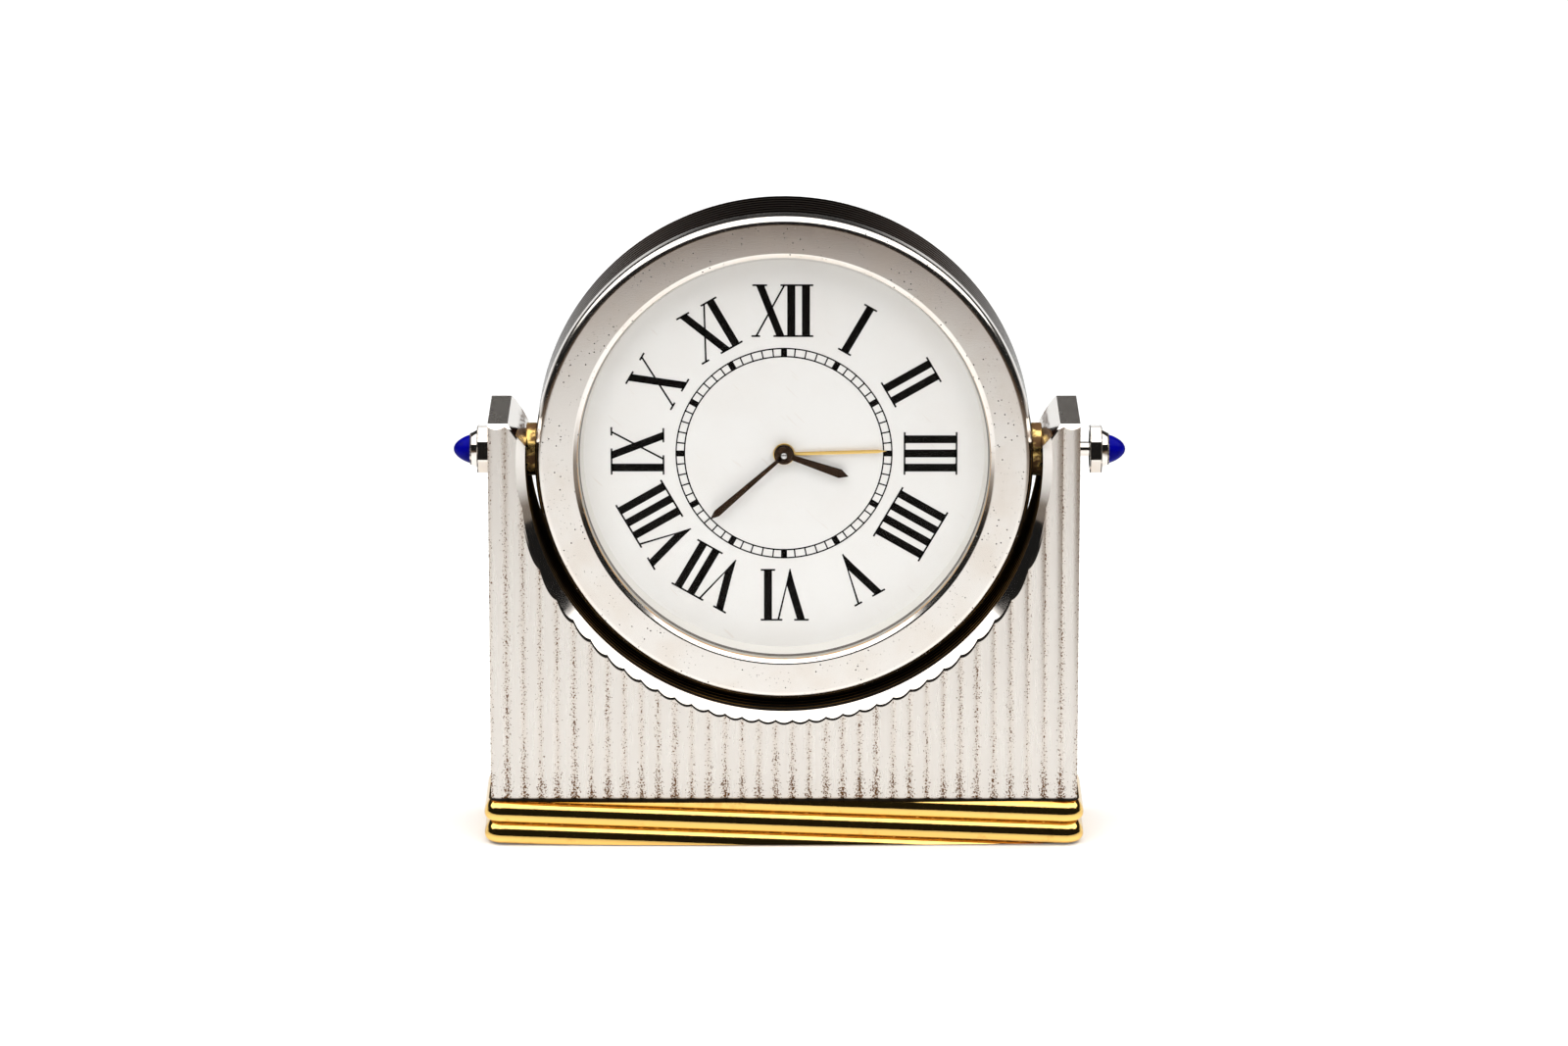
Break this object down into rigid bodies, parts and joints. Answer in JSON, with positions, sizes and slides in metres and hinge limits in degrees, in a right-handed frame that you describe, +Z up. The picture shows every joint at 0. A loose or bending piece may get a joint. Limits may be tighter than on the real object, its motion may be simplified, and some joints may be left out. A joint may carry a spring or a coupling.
{
  "type": "desk clock",
  "caption": "Round pivoting alarm clock with a ribbed drum case hung on clamp screws in a reeded U-shaped cradle on a gilt rolled plinth.",
  "frame": {"origin": "middle of the felt's underside, on the table", "axes": "+X to the viewer's right along the pivot axis, +Y away from the viewer (the dial faces -Y), +Z up"},
  "size_m": [0.1015, 0.021, 0.0971],
  "materials": {
    "gilt": "polished gold plating with light tarnish in the grooves",
    "felt": "dense felt",
    "reeded_silver": "plated reeds, satin bright, with brown specks along the grooves",
    "polished_silver": "mirror polished plating",
    "ribbed_silver": "polished ribs with tarnish between them",
    "bezel_silver": "polished flat face with fine pits and hairlines",
    "back_silver": "circular brushed plate",
    "blue_stone": "polished deep blue cabochon",
    "brass": "turned brass",
    "steel": "bright steel",
    "copper": "enamelled copper wire",
    "bronze": "dark bronzed metal",
    "hand_gold": "gilt",
    "crystal_glass": "clear flat glass",
    "black_rubber": "moulded gasket",
    "dial_ring_white": "satin white",
    "dial_enamel": "warm white enamel with black printed numerals",
    "white_plastic": "moulded",
    "black_plastic": "moulded",
    "board_green": "soldermask"
  },
  "bodies": {
    "stand": {"base_plinth": "gilt", "base_felt": "felt", "cradle": "reeded_silver", "cradle_screw_left": "steel", "cradle_screw_right": "steel"},
    "case": {"case_band": "ribbed_silver", "bezel": "bezel_silver", "crystal": "crystal_glass", "crystal_gasket": "black_rubber", "dial_ring": "dial_ring_white", "dial": "dial_enamel", "movement_ring": "white_plastic", "movement_plate": "white_plastic", "movement_housing": "black_plastic", "coil": "copper", "stator": "steel", "circuit_board": "board_green", "buzzer": "brass", "battery": "steel", "battery_contact_plus": "steel", "battery_contact_minus": "steel", "back_cover": "back_silver", "back_screw_1": "steel", "back_screw_2": "steel", "back_screw_3": "steel", "pivot_washer_left": "brass", "pivot_washer_right": "brass"},
    "left_pivot": {"pivot_screw_left": "polished_silver", "pivot_cabochon_left": "blue_stone"},
    "right_pivot": {"pivot_screw_right": "polished_silver", "pivot_cabochon_right": "blue_stone"},
    "minute_works": {"minute_hand": "bronze", "minute_arbor": "brass"},
    "hour_works": {"hour_hand": "bronze", "hour_wheel": "brass"},
    "motion_works": {"motion_wheel": "brass"},
    "third_works": {"third_wheel": "brass"},
    "motor_rotor": {"rotor": "steel"},
    "time_setter": {"time_set_stem": "brass", "time_set_knob": "gilt"},
    "alarm_works": {"alarm_hand": "hand_gold", "alarm_wheel": "brass"},
    "alarm_setter": {"alarm_set_stem": "brass", "alarm_set_knob": "gilt"},
    "alarm_switch": {"alarm_slide": "black_plastic"},
    "hatch": {"battery_hatch": "back_silver"}
  },
  "joints": [
    {"name": "case_tilt", "type": "hinge", "parent": "stand", "child": "case", "pos_m": [0, 0, 0.0596], "axis": [1, 0, 0], "continuous": true},
    {"name": "left_screw_turn", "type": "hinge", "parent": "case", "child": "left_pivot", "pos_m": [-0.0445, 0, 0.0596], "axis": [-1, 0, 0], "range_deg": [0, 1440]},
    {"name": "right_screw_turn", "type": "hinge", "parent": "case", "child": "right_pivot", "pos_m": [0.04615, 0, 0.0596], "axis": [1, 0, 0], "range_deg": [-1320, 360]},
    {"name": "minute_turn", "type": "hinge", "parent": "case", "child": "minute_works", "pos_m": [0, 0, 0.0596], "axis": [0, 1, 0], "continuous": true},
    {"name": "hour_turn", "type": "hinge", "parent": "case", "child": "hour_works", "pos_m": [0, 0, 0.0596], "axis": [0, 1, 0], "continuous": true},
    {"name": "motion_turn", "type": "hinge", "parent": "case", "child": "motion_works", "pos_m": [0.008, 0, 0.0596], "axis": [0, 1, 0], "continuous": true},
    {"name": "third_turn", "type": "hinge", "parent": "case", "child": "third_works", "pos_m": [0, 0, 0.068], "axis": [0, 1, 0], "continuous": true},
    {"name": "rotor_turn", "type": "hinge", "parent": "case", "child": "motor_rotor", "pos_m": [-0.0072, 0, 0.068], "axis": [0, 1, 0], "continuous": true},
    {"name": "time_set_turn", "type": "hinge", "parent": "case", "child": "time_setter", "pos_m": [0.016, 0, 0.0596], "axis": [0, 1, 0], "continuous": true},
    {"name": "alarm_turn", "type": "hinge", "parent": "case", "child": "alarm_works", "pos_m": [0, 0, 0.0596], "axis": [0, 1, 0], "continuous": true},
    {"name": "alarm_set_turn", "type": "hinge", "parent": "case", "child": "alarm_setter", "pos_m": [-0.0088, 0, 0.0596], "axis": [0, 1, 0], "continuous": true},
    {"name": "alarm_slide_travel", "type": "slide", "parent": "case", "child": "alarm_switch", "axis": [1, 0, 0], "range_m": [-0.0015, 0.0015]},
    {"name": "hatch_turn", "type": "hinge", "parent": "case", "child": "hatch", "pos_m": [0.012, 0, 0.0716], "axis": [0, 1, 0], "range_deg": [0, 45]}
  ],
  "couplings": [
    {"joint": "hour_turn", "follows": "minute_turn", "ratio": 0.083333},
    {"joint": "motion_turn", "follows": "minute_turn", "ratio": -0.33333},
    {"joint": "third_turn", "follows": "minute_turn", "ratio": -6},
    {"joint": "rotor_turn", "follows": "minute_turn", "ratio": 30},
    {"joint": "time_set_turn", "follows": "minute_turn", "ratio": 1},
    {"joint": "alarm_set_turn", "follows": "alarm_turn", "ratio": -2.6667}
  ]
}
